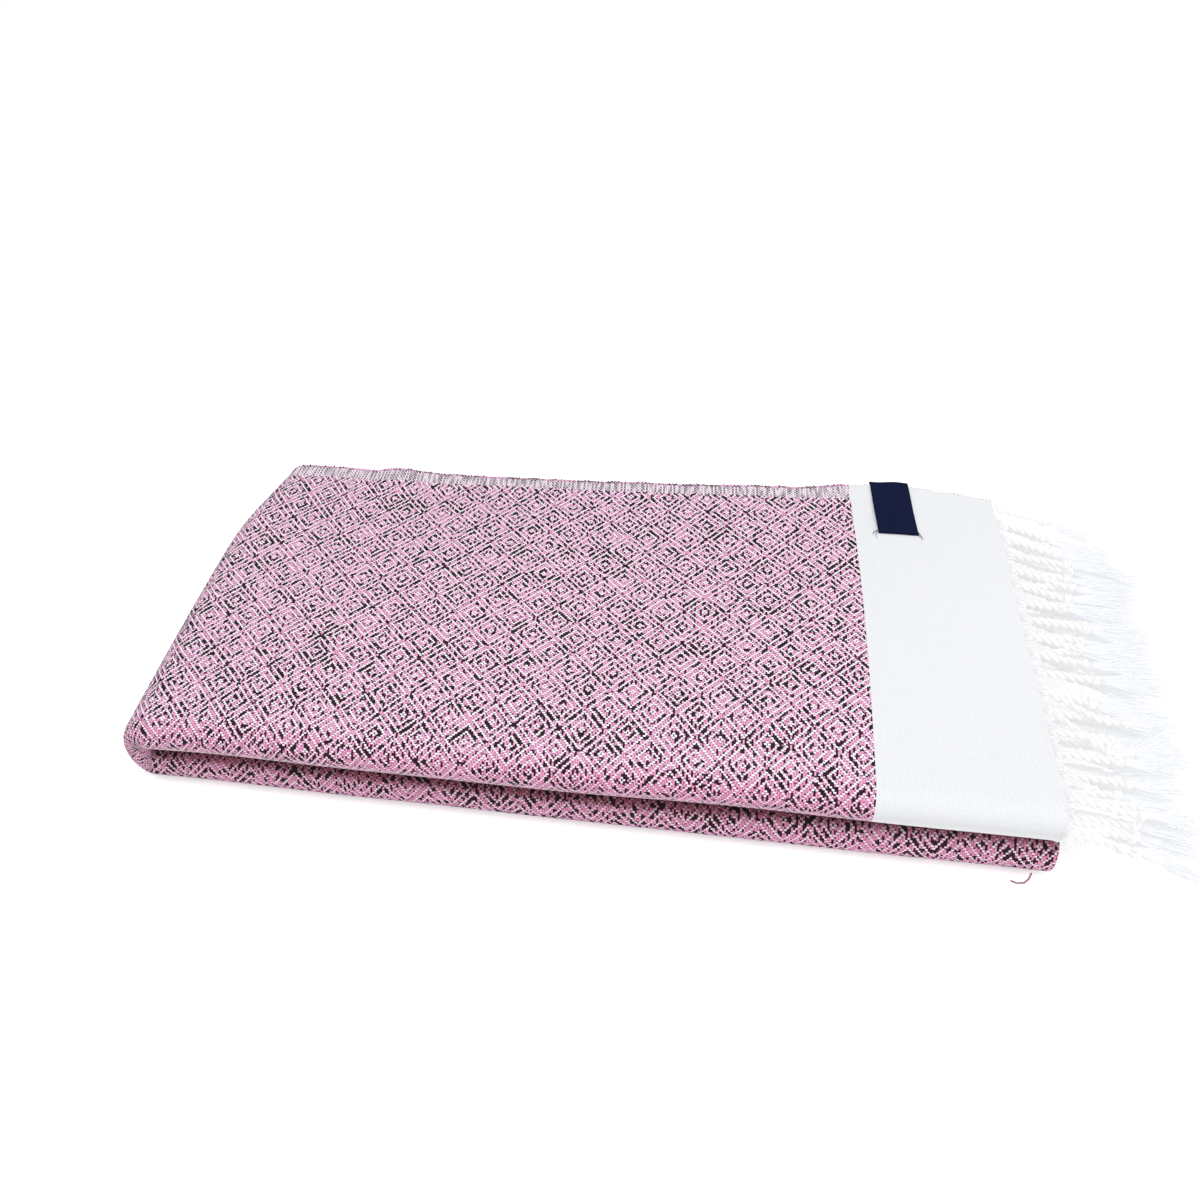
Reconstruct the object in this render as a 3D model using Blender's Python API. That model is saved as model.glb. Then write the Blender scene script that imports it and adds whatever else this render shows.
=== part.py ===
"""Folded hammam towel: one flat-woven cloth with a knotted fringe at each end and a small folded label.

The cloth is folded the way it lies: first in half crosswise, so that both fringed ends are together,
then in half lengthwise twice, which puts the folds at the front and the selvedges at the back, and then
in half crosswise again. That gives a top and a bottom packet of eight layers each, joined by the turn at
the left. Metres, +Z up, X along the packet's length towards the fringe, Y towards the back. The origin is
the middle of the folded packet's underside.
"""
import math

import bmesh
import bpy

# ---- Driving sizes, in metres ----
PACKET_LENGTH = 0.466      # from the turn at the left to the hem
PACKET_DEPTH = 0.230       # from the front folds to the back edge
BOTTOM_OVERHANG = 0.004    # the bottom packet reaches this much further right than the hem
LAYER_PITCH = 0.0029       # from the middle of one layer to the middle of the next
CLOTH_THICKNESS = 0.0010
TURN_SQUEEZE = 0.72        # how flat the left turn is pressed: its width to its height
TURN_TUCK = 0.006          # how far the inner layers of the turn draw back from the front
BACK_FOLD_INSET = 0.0045   # the fold hidden at the back lies this far in from the back edge
INNER_SELVEDGE_INSET = 0.003

PART_GAP = 0.0004          # air between pieces that touch in the real towel

# ---- Fringe ----
STRANDS_PER_LAYER = 18
FRINGE_STRIP_WIDTH = 0.003
STRAND_ROOT_WIDTH = 0.0022
STRAND_RADIUS = 0.00095
KNOT_RADIUS = 0.0011
KNOT_STAGGER = 0.003       # neighbours have their knots this much nearer to or further from the hem
STRAND_REACH = 0.060       # from the strip to the loose tip, along X
REACH_VARIATION = 0.005
REACH_TURN = 2.4           # radians that the variation's wave turns from one station to the next
BACK_DROOP = 0.42          # at the back edge, where nothing is beside it, a tip is this share lower
BACK_DROOP_WIDTH = 0.045
STRAND_WANDER = 0.0021      # how far neighbours stray sideways together
WANDER_WAVES = (
    # share  across  along
    (1.0,    26.0,   22.0),
    (0.25,   70.0,   -30.0),
)
ROOT_MARGIN = 0.006         # share of a stretch that is free of roots at each end
STRIP_MARGIN = 0.004        # share of the first and last stretch that the strip leaves free
ROOT_CLEARANCE = 0.7        # a fold's own stations this many root widths from a root's middle are left out

# ---- Label ----
LABEL_WIDTH = 0.024
LABEL_LENGTH = 0.042
LABEL_UNDER = 0.012
LABEL_THICKNESS = 0.0005
LABEL_CLEARANCE = 0.0006   # between the label and the cloth it is sewn to
LABEL_FROM_HEM = 0.0495     # from the hem to the label's nearer side

# ---- Unevenness of the folded cloth ----
LEFT_LEAN = 0.10           # how far the turn leans back over the floor, for each metre of height
LEFT_EDGE_BULGE = 0.0025
LEFT_CORNER_PULL = 0.011   # the turn's back corner is drawn in this far
LEFT_FRONT_PULL = 0.0012
LEFT_SAG = 0.05            # share of the height lost where the turn is pressed
FRONT_RECESS = 0.0062      # the top packet's front lies this far behind the bottom one's
BAND_ADVANCE = 0.0056      # and comes forward by this much at the white band, which is wider
BACK_NARROWING = 0.0085    # the same at the back edge, for the pink part
BACK_EASE = 0.002
BAND_WIDENING = 0.011
HEM_CORNER = 0.002         # the hem's front corner lies this much further right
MIDDLE_RISE = 0.035        # share of the height gained in the middle of the packet
HEIGHT_WAVES = (
    # share   along  across  start
    (0.022,   7.3,   2.1,    0.6),
    (0.014,   13.0,  -5.0,   0.0),
)
EDGE_WAVES = (
    # size    along  start
    (0.0010,  9.0,   0.8),
    (0.0006,  21.0,  0.0),
)

# ---- Worked out from these ----
TURN_RADIUS = 4 * LAYER_PITCH
PACKET_HALF = 3.5 * LAYER_PITCH
MID_HEIGHT = TURN_RADIUS + PACKET_HALF + CLOTH_THICKNESS / 2
HEM_X = PACKET_LENGTH / 2
TURN_X = -PACKET_LENGTH / 2 + TURN_SQUEEZE * (MID_HEIGHT + CLOTH_THICKNESS / 2)
RUN = HEM_X - TURN_X
TURN_ARC = math.pi * TURN_RADIUS
STRIP_END = 2 * RUN + TURN_ARC + BOTTOM_OVERHANG
FRONT_Y = -PACKET_DEPTH / 2
BACK_Y = PACKET_DEPTH / 2
FRONT_FOLD_Y = FRONT_Y + PACKET_HALF + CLOTH_THICKNESS / 2
BACK_FOLD_Y = BACK_Y - BACK_FOLD_INSET - 1.5 * LAYER_PITCH
INNER_BACK_Y = BACK_Y - INNER_SELVEDGE_INSET

# The folded width, from the outer selvedge to the inner one. Heights are in layer pitches from the
# packet's middle. A flat stretch runs from one y to another; a fold turns about a middle line.
SECTION = (
    # name           kind    from_y/middle_y  to_y/radius    height/middle  start_deg  end_deg  steps
    ("outer_hem",    "flat", BACK_Y,          BACK_FOLD_Y,   3.0,           0,         0,       1),
    ("top",          "flat", BACK_FOLD_Y,     FRONT_FOLD_Y,  3.0,           0,         0,       5),
    ("front_fold",   "fold", FRONT_FOLD_Y,    3.0,           0.0,           90,        270,     8),
    ("underside",    "flat", FRONT_FOLD_Y,    BACK_FOLD_Y,   -3.0,          0,         0,       5),
    ("back_fold",    "fold", BACK_FOLD_Y,     1.0,           -2.0,          -90,       90,      4),
    ("inner_under",  "flat", BACK_FOLD_Y,     FRONT_FOLD_Y,  -1.0,          0,         0,       5),
    ("inner_front",  "fold", FRONT_FOLD_Y,    1.0,           0.0,           270,       90,      5),
    ("inner_top",    "flat", FRONT_FOLD_Y,    BACK_FOLD_Y,   1.0,           0,         0,       5),
    ("inner_hem",    "flat", BACK_FOLD_Y,     INNER_BACK_Y,  1.0,           0,         0,       1),
)
TOP_STEPS = 6
TURN_STEPS = 7
BOTTOM_STEPS = 4
END_FOLD_STEPS = 4

MATERIALS = {
    # name          red    green  blue   roughness
    "pink_weave":  (0.62,  0.30,  0.42,  0.90),
    "white_yarn":  (0.90,  0.90,  0.88,  0.90),
    "navy_label":  (0.015, 0.025, 0.09,  0.70),
}


def smooth(value, low, high):
    """0 below low, 1 above high, and a smooth rise between them."""
    share = min(max((value - low) / (high - low), 0.0), 1.0)
    return share * share * (3 - 2 * share)


def section_point(stretch, share):
    """(y, height, outward y, outward height) at a share of one stretch of the folded width."""
    name, kind, first, second, level, start, end, steps = stretch
    if kind == "flat":
        way = 1 if second > first else -1
        return first + (second - first) * share, level * LAYER_PITCH, 0.0, float(-way)
    angle = math.radians(start + (end - start) * share)
    radius = second * LAYER_PITCH
    side = 1 if name != "inner_front" else -1
    return (first + radius * math.cos(angle), level * LAYER_PITCH + radius * math.sin(angle),
            side * math.cos(angle), side * math.sin(angle))


def section_stations():
    """Every station across the folded width, from the outer selvedge to the inner one."""
    stations = [section_point(SECTION[0], 0.0)]
    for stretch in SECTION:
        stations += [section_point(stretch, k / stretch[-1]) for k in range(1, stretch[-1] + 1)]
    return stations


def uneven(x, y, z):
    """The cloth's own unevenness, as a smooth shift of every layer together. The underside stays flat."""
    base = CLOTH_THICKNESS / 2
    along = (x + PACKET_LENGTH / 2) / PACKET_LENGTH
    across = min(max((y - FRONT_Y) / PACKET_DEPTH, 0.0), 1.0)
    crown = math.sin(math.pi * min(max(along, 0.0), 1.0)) * math.sin(math.pi * across)
    rise = MIDDLE_RISE * crown - LEFT_SAG * (1 - smooth(along, 0.0, 0.16)) * (1 - across / 2)
    rise += sum(share * math.sin(a * along + b * across + start) for share, a, b, start in HEIGHT_WAVES)
    wave = sum(size * math.sin(a * along + start) for size, a, start in EDGE_WAVES)

    at_left = 1 - smooth(along, 0.02, 0.34)
    at_top = smooth(z, 0.5 * MID_HEIGHT, 1.25 * MID_HEIGHT)
    at_front = 1 - smooth(across, 0.05, 0.8)
    pull = (LEFT_CORNER_PULL * smooth(across, 0.62, 1.04) ** 1.5 + LEFT_FRONT_PULL * (1 - across)
            - LEFT_EDGE_BULGE * math.sin(math.pi * across) + LEFT_LEAN * (z - MID_HEIGHT))
    recess = FRONT_RECESS * smooth(along, -0.05, 0.65) - BAND_ADVANCE * smooth(along, 0.70, 1.0)
    back = (BACK_EASE * smooth(along, 0.1, 0.4) + BAND_WIDENING * smooth(along, 0.45, 0.85)
            - BACK_NARROWING) * across ** 2
    corner = HEM_CORNER * (1 - across) * smooth(along, 0.8, 1.0)
    return (x + pull * at_left + corner * at_top,
            y + recess * at_top * at_front + back * (0.4 + 0.6 * at_top) + wave * (1 + across) / 2,
            base + (z - base) * (1 + rise))


def lay(run, y, height):
    """World place of a point of the folded strip: run from the hem, y, and height above the middle layer."""
    if run <= RUN:
        return uneven(HEM_X - run, y, MID_HEIGHT + TURN_RADIUS + height)
    if run >= RUN + TURN_ARC:
        return uneven(TURN_X + run - RUN - TURN_ARC, y, MID_HEIGHT - TURN_RADIUS - height)
    angle = (run - RUN) / TURN_RADIUS
    radius = TURN_RADIUS + height
    tuck = TURN_TUCK * math.sin(angle) ** 2 * (PACKET_HALF - height) / (2 * PACKET_HALF)
    return uneven(TURN_X - TURN_SQUEEZE * radius * math.sin(angle), y + tuck * (BACK_Y - y) / PACKET_DEPTH,
                  MID_HEIGHT + radius * math.cos(angle))


def run_stations():
    """(run, side) all along the doubled strip: the outer ply from its hem, the end fold, the inner ply."""
    runs = [RUN * k / TOP_STEPS for k in range(TOP_STEPS)]
    runs += [RUN + TURN_ARC * k / TURN_STEPS for k in range(TURN_STEPS)]
    runs += [RUN + TURN_ARC + (RUN + BOTTOM_OVERHANG) * k / BOTTOM_STEPS for k in range(BOTTOM_STEPS)]
    outer = [(run, 1.0) for run in runs]
    half = LAYER_PITCH / 2
    ends = [math.pi * k / END_FOLD_STEPS for k in range(END_FOLD_STEPS + 1)]
    fold = [(STRIP_END + half * math.sin(angle) - half, math.cos(angle)) for angle in ends]
    return outer + fold + [(run, -1.0) for run, side in reversed(outer)]


def minus(a, b):
    return [p - q for p, q in zip(a, b)]


def cross(a, b):
    return [a[1] * b[2] - a[2] * b[1], a[2] * b[0] - a[0] * b[2], a[0] * b[1] - a[1] * b[0]]


def unit(a):
    length = math.sqrt(sum(p * p for p in a))
    return [p / length for p in a]


def thick_sheet(name, middle, thickness, material):
    """A closed sheet of even thickness about a grid of middle points."""
    rows, columns = len(middle), len(middle[0])
    mesh = bmesh.new()
    sides = ([], [])
    for i in range(rows):
        for j in range(columns):
            along = minus(middle[min(i + 1, rows - 1)][j], middle[max(i - 1, 0)][j])
            across = minus(middle[i][min(j + 1, columns - 1)], middle[i][max(j - 1, 0)])
            normal = unit(cross(along, across))
            for side, sign in zip(sides, (0.5, -0.5)):
                spot = [p + sign * thickness * q for p, q in zip(middle[i][j], normal)]
                side.append(mesh.verts.new(spot))
    face, back = sides

    def at(side, i, j):
        return side[i * columns + j]

    for i in range(rows - 1):
        for j in range(columns - 1):
            loop = ((i, j), (i + 1, j), (i + 1, j + 1), (i, j + 1))
            mesh.faces.new([at(face, *spot) for spot in loop])
            mesh.faces.new([at(back, *spot) for spot in reversed(loop)])
        for j, (first, second) in ((0, (i + 1, i)), (columns - 1, (i, i + 1))):
            mesh.faces.new([at(face, first, j), at(face, second, j), at(back, second, j), at(back, first, j)])
    for j in range(columns - 1):
        for i, (first, second) in ((0, (j, j + 1)), (rows - 1, (j + 1, j))):
            mesh.faces.new([at(face, i, first), at(face, i, second), at(back, i, second), at(back, i, first)])
    return finish_object(name, mesh, material)


def finish_object(name, mesh, material):
    data = bpy.data.meshes.new(name)
    mesh.to_mesh(data)
    mesh.free()
    data.materials.append(material)
    data.shade_smooth()
    data.set_sharp_from_angle(angle=math.radians(50))
    piece = bpy.data.objects.new(name, data)
    bpy.context.scene.collection.objects.link(piece)
    return piece


def make_material(name):
    red, green, blue, roughness = MATERIALS[name]
    material = bpy.data.materials.new(name)
    material.use_nodes = True
    shader = material.node_tree.nodes["Principled BSDF"]
    shader.inputs["Base Color"].default_value = (red, green, blue, 1.0)
    shader.inputs["Roughness"].default_value = roughness
    shader.inputs["Metallic"].default_value = 0.0
    material.diffuse_color = (red, green, blue, 1.0)
    return material


def make_cloth():
    """The whole cloth as one sheet, both its plies and all its folds."""
    half = LAYER_PITCH / 2
    stations = section_stations()
    middle = [[lay(run, y + half * side * out_y, height + half * side * out_h)
               for y, height, out_y, out_h in stations]
              for run, side in run_stations()]
    return thick_sheet("cloth", middle, CLOTH_THICKNESS, make_material("pink_weave"))


# Where strands grow on each stretch of an end's folded edge, and how high their tips are. The four lanes of
# a spacing lie side by side. The yarn is stiff and lies in a thick pile, so the top strands stand out almost
# level and only the lowest ones sink far. An edge or a fold has one strand, in its middle.
STRAND_PLACES = (
    # stretch        outer_lane  outer_tip  inner_lane  inner_tip
    ("outer_hem",    0,          0.0385,    1,          0.0330),
    ("top",          0,          0.0385,    1,          0.0360),
    ("front_fold",   0,          0.0240,    1,          0.0220),
    ("underside",    3,          0.0080,    2,          0.0110),
    ("inner_under",  0,          0.0200,    1,          0.0170),
    ("inner_front",  3,          0.0230,    2,          0.0210),
    ("inner_top",    3,          0.0310,    2,          0.0280),
)


def root_shares(stretch, lane):
    """The start and end of each strand's root, as shares of one stretch."""
    name, kind, first, second = stretch[:4]
    if kind == "fold" or name == "outer_hem":
        width = STRAND_ROOT_WIDTH / (math.pi * second * LAYER_PITCH if kind == "fold" else first - second)
        return [(0.5 - width / 2, 0.5 + width / 2)]
    spacing = PACKET_DEPTH / STRANDS_PER_LAYER
    shares = []
    for k in range(STRANDS_PER_LAYER):
        spot = FRONT_Y + spacing * (k + (lane + 0.5) / 4)
        ends = sorted((spot + side * STRAND_ROOT_WIDTH / 2 - first) / (second - first) for side in (-1, 1))
        if ends[0] > ROOT_MARGIN and ends[1] < 1 - ROOT_MARGIN:
            shares.append(ends)
    return sorted(shares)


def comb_stations(side):
    """Stations of a fringe's strip, and the lane and tip height of the strand that grows after a station."""
    outer = {row[0]: row[1:3] for row in STRAND_PLACES}
    inner = {row[0]: row[3:5] for row in STRAND_PLACES}
    places = outer if side > 0 else inner
    stations = [section_point(SECTION[0], STRIP_MARGIN)]
    roots = {}
    for stretch in SECTION:
        name, kind, steps = stretch[0], stretch[1], stretch[-1]
        shares = root_shares(stretch, places[name][0]) if name in places else []
        spots = [k / steps for k in range(steps + 1)] if kind == "fold" else []
        clear = [spot for spot in spots
                 if all(abs(spot - sum(ends) / 2) > ROOT_CLEARANCE * (ends[1] - ends[0]) for ends in shares)]
        for spot in sorted(clear + [end for ends in shares for end in ends]):
            if any(spot == ends[0] for ends in shares):
                roots[len(stations)] = places[name]
            stations.append(section_point(stretch, spot))
    stations.append(section_point(SECTION[-1], 1 - STRIP_MARGIN))
    return stations, roots


def wander(x, y):
    """How far a strand strays sideways at this place. It is the same for neighbours, so none meet."""
    away = x - HEM_X
    stray = sum(share * math.sin(across * y + along * away) for share, across, along in WANDER_WAVES)
    return STRAND_WANDER * stray * smooth(away, 0.0, 0.05)


# A strand's rings: how far out of the strip each is, the share of the fall to its tip that it has made
# there, how much of the knots' stagger it takes, and its radius.
STRAND_RINGS = (
    # away   fall   staggered  radius
    (0.010,  0.06,  0,         STRAND_RADIUS),
    (0.024,  0.30,  1,         KNOT_RADIUS),
    (0.030,  0.42,  1,         KNOT_RADIUS),
    (0.045,  0.80,  0,         STRAND_RADIUS),
)
FALL_PER_STAGGER = 20.0


def strand_rings(root, tip_height, reach, stagger):
    """Middles and radii of one strand's rings: twisted part, knot, and the loose end."""
    rest = tip_height * (1 - BACK_DROOP * smooth(root[1], BACK_Y - BACK_DROOP_WIDTH, BACK_Y))
    rings = []
    loose_tip = (reach, 1.0, 0, STRAND_RADIUS)
    for away, share, staggered, radius in STRAND_RINGS + (loose_tip,):
        x, y = root[0] + away + staggered * stagger, root[1]
        fall = share + FALL_PER_STAGGER * staggered * stagger
        rings.append(((x, y + wander(x, y), root[2] + (rest - root[2]) * fall), radius))
    return rings


def make_fringe(name, side, material):
    """One end's fringe: a narrow strip along the folded end edge, and a strand out of it at each root."""
    half = LAYER_PITCH / 2
    stations, roots = comb_stations(side)
    runs = (-PART_GAP, -PART_GAP - FRINGE_STRIP_WIDTH)
    mesh = bmesh.new()
    loops = []
    for y, height, out_y, out_h in stations:
        corners = []
        for run, sign in ((runs[0], -1), (runs[1], -1), (runs[1], 1), (runs[0], 1)):
            off = half * side + sign * CLOTH_THICKNESS / 2
            corners.append(mesh.verts.new(lay(run, y + off * out_y, height + off * out_h)))
        loops.append(corners)
    mesh.faces.new(loops[0])
    mesh.faces.new(list(reversed(loops[-1])))
    for k in range(len(loops) - 1):
        here, there = loops[k], loops[k + 1]
        for first, second in ((0, 1), (1, 2), (2, 3), (3, 0)):
            if first == 1 and k in roots:
                grow_strand(mesh, (here[1], there[1], there[2], here[2]), *roots[k], k)
                continue
            mesh.faces.new((here[second], here[first], there[first], there[second]))
    bmesh.ops.recalc_face_normals(mesh, faces=mesh.faces)
    return finish_object(name, mesh, material)


def grow_strand(mesh, root, lane, tip_height, number):
    """A four-sided strand out of one face of the strip, sinking to the height of its tip."""
    middle = [sum(corner.co[axis] for corner in root) / 4 for axis in range(3)]
    reach = STRAND_REACH + REACH_VARIATION * math.sin(REACH_TURN * number)
    rings = strand_rings(middle, tip_height, reach, KNOT_STAGGER if lane % 2 else -KNOT_STAGGER)
    signs = [tuple(1 if corner.co[axis] > middle[axis] else -1 for axis in (1, 2)) for corner in root]
    last = list(root)
    spots = [tuple(middle)] + [ring[0] for ring in rings]
    for index, (spot, radius) in enumerate(rings, start=1):
        before, after = spots[index - 1], spots[min(index + 1, len(spots) - 1)]
        slope = math.atan2(after[2] - before[2], after[0] - before[0])
        if index == len(rings):
            slope = 0.0
        ring = [mesh.verts.new((spot[0] - up * radius * math.sin(slope), spot[1] + wide * radius,
                                spot[2] + up * radius * math.cos(slope))) for wide, up in signs]
        for k in range(4):
            mesh.faces.new((last[k], last[(k + 1) % 4], ring[(k + 1) % 4], ring[k]))
        last = ring
    mesh.faces.new(last)


def make_label():
    """The woven label: one strip on the top layer that wraps over the back edge and ends under it."""
    on_top = 3.5 * LAYER_PITCH
    leg = CLOTH_THICKNESS / 2 + LABEL_CLEARANCE + LABEL_THICKNESS / 2
    path = [(BACK_Y - LABEL_LENGTH * (1 - k / 6), on_top + leg) for k in range(7)]
    for k in range(1, 6):
        angle = math.pi / 2 - math.pi * k / 6
        path.append((BACK_Y + leg * math.cos(angle), on_top + leg * math.sin(angle)))
    path += [(BACK_Y - LABEL_UNDER * k / 2, on_top - leg) for k in range(3)]
    runs = [LABEL_FROM_HEM + LABEL_WIDTH * k / 2 for k in range(3)]
    middle = [[lay(run, y, height) for y, height in reversed(path)] for run in reversed(runs)]
    return thick_sheet("label", middle, LABEL_THICKNESS, make_material("navy_label"))


def main():
    for old in list(bpy.data.objects):
        bpy.data.objects.remove(old)
    make_cloth()
    white = make_material("white_yarn")
    make_fringe("fringe_outer_end", 1.0, white)
    make_fringe("fringe_inner_end", -1.0, white)
    make_label()


main()
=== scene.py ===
import math
import random

import bpy
import numpy as np
from mathutils import Matrix, Vector


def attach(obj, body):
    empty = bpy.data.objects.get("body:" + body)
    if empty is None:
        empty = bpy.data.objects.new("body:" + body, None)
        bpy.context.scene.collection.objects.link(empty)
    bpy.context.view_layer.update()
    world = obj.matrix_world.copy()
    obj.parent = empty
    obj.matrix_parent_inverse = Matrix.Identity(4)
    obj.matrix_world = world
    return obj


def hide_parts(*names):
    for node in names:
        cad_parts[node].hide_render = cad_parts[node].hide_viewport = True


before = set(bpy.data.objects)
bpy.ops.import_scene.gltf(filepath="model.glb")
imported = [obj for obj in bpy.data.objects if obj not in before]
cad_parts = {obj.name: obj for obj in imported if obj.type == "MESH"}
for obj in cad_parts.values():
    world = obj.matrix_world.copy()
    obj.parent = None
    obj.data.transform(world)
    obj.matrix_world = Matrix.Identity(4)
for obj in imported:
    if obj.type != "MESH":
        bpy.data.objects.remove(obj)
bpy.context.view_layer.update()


# ---- Camera ----
# The towel lies on a white table and is seen from its front, looking down at 45 degrees and a little to
# the left, so that the top, the front folds and the fringe all show.

CAMERA_PLACE = (0.0659, -0.3806, 0.4313)
CAMERA_HEADING_DEG = 8.99      # turned to the left of straight ahead
CAMERA_TILT_DEG = 45.21        # up from straight down
CAMERA_ROLL_DEG = -1.81
CAMERA_LENS_MM = 29.38

camera_data = bpy.data.cameras.new("camera")
camera_data.lens = CAMERA_LENS_MM
camera_data.sensor_width = 36.0
camera_data.clip_start = 0.01
camera = bpy.data.objects.new("camera", camera_data)
camera.matrix_world = (
    Matrix.Translation(CAMERA_PLACE)
    @ Matrix.Rotation(math.radians(CAMERA_HEADING_DEG), 4, "Z")
    @ Matrix.Rotation(math.radians(CAMERA_TILT_DEG), 4, "X")
    @ Matrix.Rotation(math.radians(CAMERA_ROLL_DEG), 4, "Z")
)
bpy.context.scene.collection.objects.link(camera)
bpy.context.scene.camera = camera


# ---- Table and light ----
# A plain white table under a wide, soft overhead light, with white walls all round. The light is so broad
# that the towel throws hardly any shadow, and the table is brighter than the white yarn.

FLOOR_SIZE = 8.0
FLOOR_DROP = 0.0004            # the table's top lies this far below the towel's underside
TABLE_GLOW = 0.35              # it looks this much brighter than the light it throws back on the towel
WALL_GLOW = 0.65
LAMPS = (
    # name               place                  size  watts
    ("overhead_light",   (-0.20, -0.45, 1.60),  1.4,  14.5),
    ("fringe_light",     (1.30, -0.30, 0.60),   1.0,  10.0),
)


def new_paint(name, roughness, specular):
    """A material, its node tree and its shader."""
    paint = bpy.data.materials.new(name)
    paint.use_nodes = True
    shader = paint.node_tree.nodes["Principled BSDF"]
    shader.inputs["Roughness"].default_value = roughness
    shader.inputs["Specular IOR Level"].default_value = specular
    return paint, paint.node_tree, shader


floor_mesh = bpy.data.meshes.new("table_top")
half_floor = FLOOR_SIZE / 2
floor_mesh.from_pydata(
    [(x * half_floor, y * half_floor, -FLOOR_DROP) for x, y in ((-1, -1), (1, -1), (1, 1), (-1, 1))],
    [], [(0, 1, 2, 3)])
floor = bpy.data.objects.new("table_top", floor_mesh)
bpy.context.scene.collection.objects.link(floor)
floor_paint, tree, shader = new_paint("table_white", 0.9, 0.1)
shader.inputs["Base Color"].default_value = (0.85, 0.85, 0.85, 1.0)
shader.inputs["Emission Color"].default_value = (1.0, 1.0, 1.0, 1.0)
floor_glow = tree.nodes.new("ShaderNodeMath")
floor_glow.operation = "MULTIPLY"
floor_glow.inputs[1].default_value = TABLE_GLOW
seen = tree.nodes.new("ShaderNodeLightPath")
tree.links.new(seen.outputs["Is Camera Ray"], floor_glow.inputs[0])
tree.links.new(floor_glow.outputs[0], shader.inputs["Emission Strength"])
floor_mesh.materials.append(floor_paint)

world = bpy.data.worlds.new("white_room")
world.use_nodes = True
world.node_tree.nodes["Background"].inputs["Color"].default_value = (1.0, 1.0, 1.0, 1.0)
world.node_tree.nodes["Background"].inputs["Strength"].default_value = WALL_GLOW
bpy.context.scene.world = world

for name, place, size, watts in LAMPS:
    lamp_data = bpy.data.lights.new(name, "AREA")
    lamp_data.shape = "SQUARE"
    lamp_data.size = size
    lamp_data.energy = watts
    lamp = bpy.data.objects.new(name, lamp_data)
    lamp.location = place
    lamp.rotation_euler = (Vector((0.0, 0.0, 0.0)) - Vector(place)).to_track_quat("-Z", "Y").to_euler()
    bpy.context.scene.collection.objects.link(lamp)

bpy.context.scene.view_settings.view_transform = "Standard"


# ---- The cloth ----
# One length of cotton cloth, woven with a white warp that runs the long way and a pink and black weft. It
# is folded in half crosswise, in half lengthwise twice, and in half crosswise again, so a top and a bottom
# packet of eight layers each are joined by the turn at the left.

PACKET_LENGTH = 0.466          # from the turn at the left to the hem
PACKET_DEPTH = 0.230           # from the front folds to the back edge
BOTTOM_OVERHANG = 0.004        # the bottom packet's end reaches this far past the hem
LAYER_PITCH = 0.0029
CLOTH_THICKNESS = 0.0010
TURN_SQUEEZE = 0.72            # the turn is flattened from half a circle to this
TURN_TUCK = 0.006
BACK_FOLD_INSET = 0.0045
INNER_SELVEDGE_INSET = 0.003

LEFT_LEAN = 0.10
LEFT_EDGE_BULGE = 0.0025
LEFT_CORNER_PULL = 0.011
LEFT_FRONT_PULL = 0.0012
LEFT_SAG = 0.05
FRONT_RECESS = 0.0062
BAND_ADVANCE = 0.0056
LIP_SAG = 0.8                  # share of that recess that the front fold regains as it sags
BOTTOM_ADVANCE = 0.0017        # the bottom packet's front stands out this much more towards the hem
BACK_NARROWING = 0.0085
BACK_EASE = 0.002
BAND_WIDENING = 0.011
HEM_CORNER = 0.002
MIDDLE_RISE = 0.035
HEIGHT_WAVES = (
    # share   along  across  start
    (0.022,   7.3,   2.1,    0.6),
    (0.014,   13.0,  -5.0,   0.0),
)
EDGE_WAVES = (
    # size    along  start
    (0.0010,  9.0,   0.8),
    (0.0006,  21.0,  0.0),
)

TURN_RADIUS = 4 * LAYER_PITCH
PACKET_HALF = 3.5 * LAYER_PITCH
MID_HEIGHT = TURN_RADIUS + PACKET_HALF + CLOTH_THICKNESS / 2
HEM_X = PACKET_LENGTH / 2
TURN_X = -PACKET_LENGTH / 2 + TURN_SQUEEZE * (MID_HEIGHT + CLOTH_THICKNESS / 2)
RUN = HEM_X - TURN_X
TURN_ARC = math.pi * TURN_RADIUS
STRIP_END = 2 * RUN + TURN_ARC + BOTTOM_OVERHANG
FRONT_Y = -PACKET_DEPTH / 2
BACK_Y = PACKET_DEPTH / 2
FRONT_FOLD_Y = FRONT_Y + PACKET_HALF + CLOTH_THICKNESS / 2
BACK_FOLD_Y = BACK_Y - BACK_FOLD_INSET - 1.5 * LAYER_PITCH
INNER_BACK_Y = BACK_Y - INNER_SELVEDGE_INSET

# The folded width, from the outer selvedge to the inner one. Heights are in layer pitches from the
# packet's middle. A flat stretch runs from one y to another; a fold turns about a middle line.
SECTION = (
    # name           kind    from_y/middle_y  to_y/radius    height/middle  start_deg  end_deg  steps
    ("outer_hem",    "flat", BACK_Y,          BACK_FOLD_Y,   3.0,           0,         0,       3),
    ("top",          "flat", BACK_FOLD_Y,     FRONT_FOLD_Y,  3.0,           0,         0,       34),
    ("front_fold",   "fold", FRONT_FOLD_Y,    3.0,           0.0,           90,        270,     14),
    ("underside",    "flat", FRONT_FOLD_Y,    BACK_FOLD_Y,   -3.0,          0,         0,       22),
    ("back_fold",    "fold", BACK_FOLD_Y,     1.0,           -2.0,          -90,       90,      8),
    ("inner_under",  "flat", BACK_FOLD_Y,     FRONT_FOLD_Y,  -1.0,          0,         0,       22),
    ("inner_front",  "fold", FRONT_FOLD_Y,    1.0,           0.0,           270,       90,      8),
    ("inner_top",    "flat", FRONT_FOLD_Y,    BACK_FOLD_Y,   1.0,           0,         0,       22),
    ("inner_hem",    "flat", BACK_FOLD_Y,     INNER_BACK_Y,  1.0,           0,         0,       2),
)
TOP_STEPS = 60
TURN_STEPS = 20
BOTTOM_STEPS = 36
END_FOLD_STEPS = 6


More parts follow.
